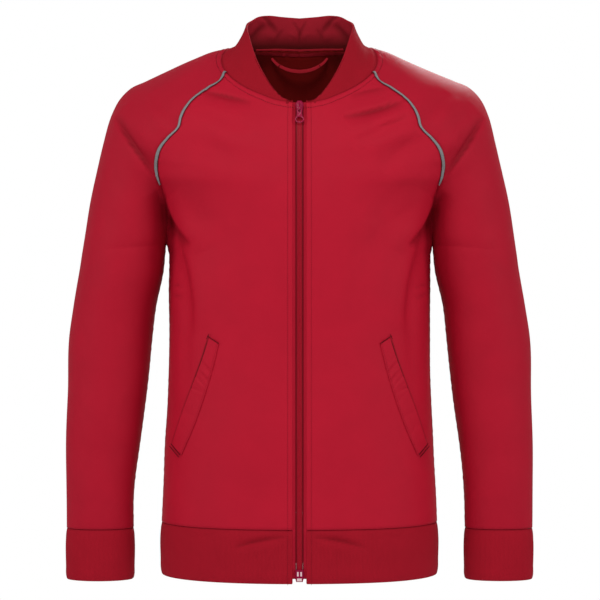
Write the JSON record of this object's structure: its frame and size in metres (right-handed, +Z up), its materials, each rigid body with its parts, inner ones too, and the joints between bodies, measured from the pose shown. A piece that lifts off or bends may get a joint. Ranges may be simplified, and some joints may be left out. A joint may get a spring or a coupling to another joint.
{
  "type": "track jacket",
  "caption": "Hollow zip-through raglan track jacket in red tricot, filled out as worn, with rib stand collar, cuffs and hem band, piped front seams, slanted welt pockets and a coil zip.",
  "frame": {"origin": "middle of the base of the neck, at the height where the collar meets the shoulders, where the wearer's shoulders hold the jacket up", "axes": "+X towards the wearer's left sleeve, -Y out of the zipped front, +Z up to the collar"},
  "size_m": [0.62, 0.2428, 0.7554],
  "materials": {
    "tricot": "smooth warp-knit polyester with a faint soft sheen, bright red",
    "rib": "fine matte rib knit, darker red",
    "piping": "woven grey reflective-look piping with a dark edge",
    "zip_tape": "woven herringbone zip tape, red",
    "zip_coil": "moulded nylon coil, dark red",
    "zip_metal": "glossy crimson lacquer, worn bright at edges"
  },
  "bodies": {
    "jacket": {"back": "tricot", "collar": "rib", "hem_band": "rib", "front_left": "tricot", "sleeve_left": "tricot", "cuff_left": "rib", "pocket_welt_left": "tricot", "piping_left": "piping", "zip_tape_left": "zip_tape", "front_right": "tricot", "sleeve_right": "tricot", "cuff_right": "rib", "pocket_welt_right": "tricot", "piping_right": "piping", "zip_tape_right": "zip_tape", "zip_chain": "zip_coil", "zip_slider": "zip_metal", "zip_box": "zip_metal", "neck_tape": "rib", "hanger_loop": "rib"},
    "pull": {"zip_pull": "zip_metal"}
  },
  "joints": [
    {"name": "pull_swing", "type": "hinge", "parent": "jacket", "child": "pull", "pos_m": [0, -0.10372, -0.08748], "axis": [-1, 0, 0], "range_deg": [0, 125]}
  ]
}
